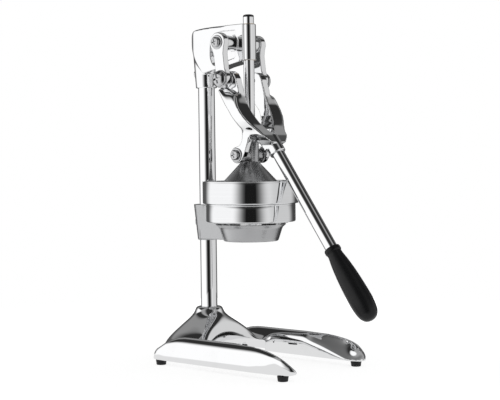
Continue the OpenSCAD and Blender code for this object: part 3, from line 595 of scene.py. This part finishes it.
# Castings keep the solid's form, with edges as soft as cast and polished metal has. Grain is the size of
# the new skin's facets, and softening is how many times it is smoothed. A rounding smooths it further,
# inside the zone between two corners, and fades in from its border over the distance given.
castings = {
    "base": {
        "piece": "baseCasting", "body": "stand", "slot": "base_chrome", "grain": 0.0015, "softening": 5,
        "rounding": 90, "from": Vector((-1, -1, 0.010)), "to": Vector((1, 1, 0.08)), "fade": 0.014,
    },
    "head": {
        "piece": "headCasting", "body": "stand", "slot": "casting_chrome", "grain": 0.0009, "softening": 6,
        "rounding": 70, "from": Vector((-1, pressAxis.y + 0.03, 0.43)), "to": Vector((1, 1, 1)),
        "fade": 0.014,
    },
    "lever_yoke": {
        "piece": "yokeCasting", "body": "lever", "slot": "casting_chrome", "grain": 0.0009, "softening": 6,
        "rounding": 110, "from": Vector((0.023, -1, lowerPivot.z + 0.02)),
        "to": Vector((1, 1, kneePivot.z - 0.016)), "fade": 0.008,
    },
    "cup_bracket": {
        "piece": "bracketCasting", "body": "stand", "slot": "bracket_metal", "grain": 0.001, "softening": 8,
    },
    "press_cone": {
        "piece": "coneCasting", "body": "press", "slot": "cone_metal", "grain": 0.0008, "softening": 8,
    },
    "reamer": {
        "piece": "reamerCasting", "body": "stand", "slot": "reamer_metal", "grain": 0.0007, "softening": 5,
    },
    "link_left": {
        "piece": "linkCastingLeft", "body": "links", "slot": "link_chrome",
        "grain": 0.0006, "softening": 36,
    },
    "link_right": {
        "piece": "linkCastingRight", "body": "links", "slot": "link_chrome",
        "grain": 0.0006, "softening": 36,
    },
}
weightSteps = 10


def markZone(piece, low, high, fade):
    # a zone that starts off the middle plane holds on both sides of the press
    group = piece.vertex_groups.new(name="rounded")
    found = {}
    for point in piece.data.vertices:
        spot = Vector((abs(point.co.x) if low.x > 0 else point.co.x, point.co.y, point.co.z))
        inside = min(min(spot[i] - low[i], high[i] - spot[i]) for i in range(3))
        weight = round(max(0.0, min(1.0, inside / fade)) * weightSteps)
        found.setdefault(weight, []).append(point.index)
    for weight, points in found.items():
        group.add(points, weight / weightSteps, "REPLACE")


def addSmoothing(piece, iterations):
    smoothing = piece.modifiers.new("smoothing", "SMOOTH")
    smoothing.factor = 0.5
    smoothing.iterations = iterations
    return smoothing


def softCasting(node, facts):
    # the copy leaves the node's own tags and parent behind, and its loose triangles are merged first
    piece = copyPiece(nodes[node], facts["piece"])
    for key in list(piece.keys()):
        del piece[key]
    piece.parent = None
    makeActive(piece)
    bpy.ops.object.mode_set(mode="EDIT")
    bpy.ops.mesh.select_all(action="SELECT")
    bpy.ops.mesh.remove_doubles(threshold=0.00001)
    bpy.ops.object.mode_set(mode="OBJECT")
    skin = piece.modifiers.new("skin", "REMESH")
    skin.mode = "VOXEL"
    skin.voxel_size = facts["grain"]
    addSmoothing(piece, facts["softening"])
    applyAll(piece)
    if "rounding" in facts:
        markZone(piece, facts["from"], facts["to"], facts["fade"])
        addSmoothing(piece, facts["rounding"]).vertex_group = "rounded"
        applyAll(piece)
        piece.vertex_groups.clear()
    bpy.ops.object.shade_smooth()
    return putOn(piece, facts["body"], node, nodeFinish[node])


curveSteps = 5
curveReach = 0.49  # the most of a side that one rounding takes up


def softCorners(points):
    # points are (radius, height, rounding); a rounded corner becomes a short curve
    drawn = []
    for i, (radius, height, size) in enumerate(points):
        here = Vector((radius, height))
        if size == 0 or i in (0, len(points) - 1):
            drawn.append(here)
            continue
        before = Vector(points[i - 1][:2]) - here
        after = Vector(points[i + 1][:2]) - here
        reach = min(size, before.length * curveReach, after.length * curveReach)
        first = here + before.normalized() * reach
        last = here + after.normalized() * reach
        for step in range(curveSteps + 1):
            share = step / curveSteps
            rest = 1 - share
            drawn.append(first * rest ** 2 + here * 2 * share * rest + last * share ** 2)
    return drawn


def spinPiece(name, points, steps, closed=False):
    # a single point is pulled along the profile and spun about Z
    deselectAll()
    bpy.ops.mesh.primitive_plane_add(size=0.002)
    piece = bpy.context.object
    piece.name = name
    bpy.ops.object.mode_set(mode="EDIT")
    bpy.ops.mesh.select_all(action="SELECT")
    bpy.ops.mesh.merge(type="CENTER")
    drawn = softCorners(points)
    bpy.ops.transform.translate(value=(drawn[0].x, 0, drawn[0].y))
    for here, there in zip(drawn, drawn[1:] + (drawn[:1] if closed else [])):
        bpy.ops.mesh.extrude_region_move(
            TRANSFORM_OT_translate={"value": (there.x - here.x, 0, there.y - here.y)})
    bpy.ops.mesh.select_all(action="SELECT")
    bpy.ops.mesh.spin(steps=steps, angle=2 * math.pi, center=(0, 0, 0), axis=(0, 0, 1))
    bpy.ops.mesh.select_all(action="SELECT")
    bpy.ops.mesh.remove_doubles(threshold=0.00002)
    bpy.ops.mesh.normals_make_consistent(inside=False)
    bpy.ops.object.mode_set(mode="OBJECT")
    return piece


def placePiece(piece, spot, turn=(0, 0, 0)):
    # the place goes into the mesh, so the object itself stays at the origin
    piece.rotation_euler = turn
    piece.location = spot
    makeActive(piece)
    bpy.ops.object.transform_apply(location=True, rotation=True, scale=True)


def copyPiece(piece, name):
    made = piece.copy()
    made.data = piece.data.copy()
    made.name = name
    bpy.context.scene.collection.objects.link(made)
    return made


def joinPieces(name, pieces):
    deselectAll()
    for piece in pieces:
        piece.select_set(True)
    bpy.context.view_layer.objects.active = pieces[0]
    bpy.ops.object.join()
    pieces[0].name = name
    return pieces[0]


def cutAway(piece, cutter):
    carve = piece.modifiers.new("carve", "BOOLEAN")
    carve.operation = "DIFFERENCE"
    carve.solver = "EXACT"
    carve.object = cutter
    applyAll(piece)
    bpy.data.objects.remove(cutter, do_unlink=True)


cups = {
    "wall": 0.0015, "rim": 0.0011, "grooveDepth": 0.0003, "steps": 160, "shading": 40,
    "holeRadius": 0.002, "holeSides": 20, "holeRings": [(0.056, 30), (0.048, 24)],
    "grooveShares": (0.93, 0.945, 0.965), "lipShare": 0.95,  # of the strainer cup's height
    "grooveDrops": (0.0026, 0.0022, 0.0016),  # from the top of the funnel's band
    "band": 0.0265, "outlet": 0.010, "seat": 0.050, "coneDrop": 0.014,
}


def makeStrainerCup():
    low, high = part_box("strainer_cup")
    radius = (high.x - low.x) / 2 - hair
    height = high.z - low.z - hair
    wall, rim, depth = cups["wall"], cups["rim"], cups["grooveDepth"]
    below, groove, above = (height * share for share in cups["grooveShares"])
    lip, lipFoot = radius - wall - rim * 0.6, height * cups["lipShare"]
    # floor, outer wall, a fine groove and the rolled rim, then down the inside
    piece = spinPiece("strainerCup", [
        (0, 0, 0), (radius, 0, 0.0022), (radius, below, 0), (radius - depth, groove, 0.0004),
        (radius, above, 0.0004), (radius, height, rim), (lip, height, rim), (lip, lipFoot, 0.0005),
        (radius - wall, below, 0.0005), (radius - wall, wall, 0.0016), (0, wall, 0),
    ], cups["steps"])
    drills = []
    for ring, number in cups["holeRings"]:
        for i in range(number):
            turn = 2 * math.pi * i / number
            spot = (ring * math.cos(turn), ring * math.sin(turn), wall / 2)
            deselectAll()
            bpy.ops.mesh.primitive_cylinder_add(vertices=cups["holeSides"], radius=cups["holeRadius"],
                                                depth=wall * 6, location=spot)
            drills.append(bpy.context.object)
    cutAway(piece, joinPieces("drills", drills))
    placePiece(piece, (pressAxis.x, pressAxis.y, low.z))
    smoothShade(piece, cups["shading"])
    return putOn(piece, "stand", "strainer_cup", cupSteel)


def makeJuiceFunnel():
    low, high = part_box("juice_funnel")
    radius = (high.x - low.x) / 2 - hair
    height = high.z - low.z
    floor = height - cups["band"]
    throat = floor - cups["coneDrop"]
    wall, rim, depth, mouth, seat = (cups[name] for name in ("wall", "rim", "grooveDepth", "outlet", "seat"))
    below, groove, above = (height - drop for drop in cups["grooveDrops"])
    # up the outside of the outlet, funnel and band, then down the inside
    piece = spinPiece("juiceFunnel", [
        (mouth, 0, 0), (mouth, throat, 0.003), (seat, floor, 0.004), (radius, floor, 0.0022),
        (radius, below, 0), (radius - depth, groove, 0.0003), (radius, above, 0.0003),
        (radius, height, rim * 0.7), (radius - wall, height, rim * 0.5),
        (radius - wall, floor + wall, 0.0015), (seat, floor + wall, 0.004),
        (mouth - wall, throat + wall, 0.003), (mouth - wall, 0, 0),
    ], cups["steps"], closed=True)
    placePiece(piece, (pressAxis.x, pressAxis.y, low.z))
    smoothShade(piece, cups["shading"])
    return putOn(piece, "stand", "juice_funnel", cupSteel)


# lean and length as the CAD has them; the neck radius is that of the CAD's flat upper face
grip = {
    "lean": 35.8, "length": 0.118, "neck": 0.011, "bore": 0.009, "collar": 0.0118, "groove": 0.0106,
    "waist": 0.0125, "belly": 0.0168, "steps": 64, "shading": 50,
}


def makeGrip():
    low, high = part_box("grip")
    lean = math.radians(grip["lean"])
    collar, groove, waist, belly = (grip[name] for name in ("collar", "groove", "waist", "belly"))
    length = grip["length"]
    # a collar, a groove, then the swelling and its rounded end
    piece = spinPiece("gripMoulding", [
        (grip["bore"], 0.0002, 0), (collar - 0.0008, 0.0002, 0.0006), (collar, 0.0016, 0.0008),
        (collar + 0.0002, 0.0062, 0.0012), (groove, 0.008, 0.0008), (groove + 0.0001, length * 0.1, 0.003),
        (waist + 0.0006, length * 0.22, 0.012), (waist + 0.0028, length * 0.4, 0.012),
        (belly - 0.0004, length * 0.6, 0.012), (belly, length * 0.74, 0.01),
        (belly - 0.0008, length * 0.84, 0.008), (belly * 0.82, length * 0.925, 0.006),
        (belly * 0.55, length * 0.978, 0.006), (belly * 0.24, length * 0.997, 0.003), (0, length * 0.999, 0),
    ], grip["steps"])
    # the edge of the neck's upper face touches the back and the top of the CAD box
    start = (0, high.y - math.cos(lean) * grip["neck"], high.z - math.sin(lean) * grip["neck"])
    placePiece(piece, start, (math.pi - lean, 0, 0))
    smoothShade(piece, grip["shading"])
    return putOn(piece, "lever", "grip", gripPlastic)


cap = {"shoulder": 0.62, "crown": 0.66, "crownHeight": 0.96, "steps": 64, "shading": 50}


def makeRodCap():
    low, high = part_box("rod_cap")
    radius = (high.x - low.x) / 2 - hair
    height = high.z - low.z
    piece = spinPiece("capMoulding", [
        (0, 0, 0), (radius, 0, 0.0004), (radius, height * cap["shoulder"], 0.0016),
        (radius * cap["crown"], height * cap["crownHeight"], 0.003), (0, height, 0),
    ], cap["steps"])
    placePiece(piece, (pressAxis.x, pressAxis.y, low.z))
    smoothShade(piece, cap["shading"])
    return putOn(piece, "press", "rod_cap", capRubber)


foot = {
    "radius": 0.008, "taper": 0.001, "bore": 0.0026, "recess": 0.005, "recessShare": 0.6,
    "steps": 48, "shading": 40,
}


def makeFeet():
    low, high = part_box("rubber_feet")
    radius, height = foot["radius"], high.z - low.z
    step = height * foot["recessShare"]
    # down the bore and its recess, then up the tapered outside
    master = spinPiece("footMoulding", [
        (foot["bore"], height, 0), (foot["bore"], step, 0), (foot["recess"], step, 0),
        (foot["recess"], 0, 0.0003), (radius - foot["taper"], 0, 0.0008), (radius, height * 0.85, 0.001),
        (radius - 0.0003, height, 0.0003),
    ], foot["steps"], closed=True)
    feet = []
    for x in (low.x + radius, high.x - radius):
        for y in (low.y + radius, high.y - radius):
            copied = copyPiece(master, "foot")
            placePiece(copied, (x, y, 0))
            feet.append(copied)
    bpy.data.objects.remove(master, do_unlink=True)
    piece = joinPieces("feetMouldings", feet)
    smoothShade(piece, foot["shading"])
    return putOn(piece, "stand", "rubber_feet", footRubber)


# The cross recess is in shares of the head's radius and height, and its turn is in radians. Crown is the
# share of the head's height where it starts to round over.
crossRecess = {"width": 0.24, "length": 1.15, "depth": 0.42, "turn": 0.2}
pivotScrews = {
    "upperScrews": {"node": "upper_pivot_screws", "body": "links", "radius": 0.0076, "height": 0.005,
                    "shank": 0.004, "shankLength": 0.0125, "crown": 0.7},
    "kneeScrews": {"node": "knee_screws", "body": "lever", "radius": 0.012, "height": 0.007,
                   "shank": 0.00495, "shankLength": 0.0258, "crown": 0.42},
    "lowerScrews": {"node": "lower_pivot_screws", "body": "press", "radius": 0.0076, "height": 0.005,
                    "shank": 0.00495, "shankLength": 0.0203, "crown": 0.7},
}
pivotWashers = {
    "upperWashers": {"node": "upper_pivot_washers", "body": "links", "bore": 0.004},
    "kneeWashers": {"node": "knee_washers", "body": "lever", "bore": 0.005},
    "lowerWashers": {"node": "lower_pivot_washers", "body": "press", "bore": 0.005},
}
smallParts = {
    "screwSteps": 48, "washerSteps": 64, "washerThickness": 0.0015, "washerSlope": 0.0009, "shading": 32,
}


def makeScrew(name, facts):
    # the head stands on Z = 0 and the shank runs down
    radius, height = facts["radius"], facts["height"]
    shank, bottom = facts["shank"], -facts["shankLength"]
    piece = spinPiece(name, [
        (0, bottom, 0), (shank, bottom, 0.0004), (shank, 0, 0), (radius * 0.985, 0, 0.0003),
        (radius, height * 0.12, 0.0004), (radius, height * facts["crown"], height * 0.5),
        (radius * 0.62, height * 0.985, radius * 0.3), (0, height, 0),
    ], smallParts["screwSteps"])
    bars = []
    for turn in (0, quarterTurn):
        deselectAll()
        bpy.ops.mesh.primitive_cube_add(size=1)
        bar = bpy.context.object
        bar.scale = (radius * crossRecess["length"], radius * crossRecess["width"],
                     height * crossRecess["depth"] * 2)
        placePiece(bar, (0, 0, height), (0, 0, turn + crossRecess["turn"]))
        bars.append(bar)
    for bar in bars:
        cutAway(piece, bar)
    return piece


def makeWasher(name, facts):
    low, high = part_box(facts["node"])
    radius = (high.z - low.z) / 2
    bore, thick = facts["bore"], smallParts["washerThickness"]
    return spinPiece(name, [
        (bore, 0, 0.0002), (radius, 0, 0.0003), (radius, thick * 0.7, 0.0005),
        (radius - smallParts["washerSlope"], thick, 0.0005), (bore, thick, 0.0002),
    ], smallParts["washerSteps"], closed=True)


def bothSides(right, facts, depth):
    # turned to point outwards, with a copy on the other side of the press
    name = right.name
    low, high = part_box(facts["node"])
    spot = (low + high) / 2
    left = copyPiece(right, name + "Left")
    placePiece(right, (high.x - depth, spot.y, spot.z), (0, quarterTurn, 0))
    placePiece(left, (low.x + depth, spot.y, spot.z), (0, -quarterTurn, 0))
    piece = joinPieces(name, [right, left])
    smoothShade(piece, smallParts["shading"])
    return putOn(piece, facts["body"], facts["node"], screwSteel)


for node, facts in castings.items():
    made = softCasting(node, facts)
    print("casting", made.name, len(made.data.polygons))
makeStrainerCup()
makeJuiceFunnel()
print("cups ready")
makeGrip()
makeRodCap()
makeFeet()
print("mouldings ready")
for name, facts in pivotScrews.items():
    bothSides(makeScrew(name, facts), facts, facts["height"])
for name, facts in pivotWashers.items():
    bothSides(makeWasher(name, facts), facts, smallParts["washerThickness"])
print("screws and washers ready")

makeCamera()
makeWorld()
makeFloor()
makeLamps()
bpy.context.scene.view_settings.view_transform = "Standard"
print("studio ready")
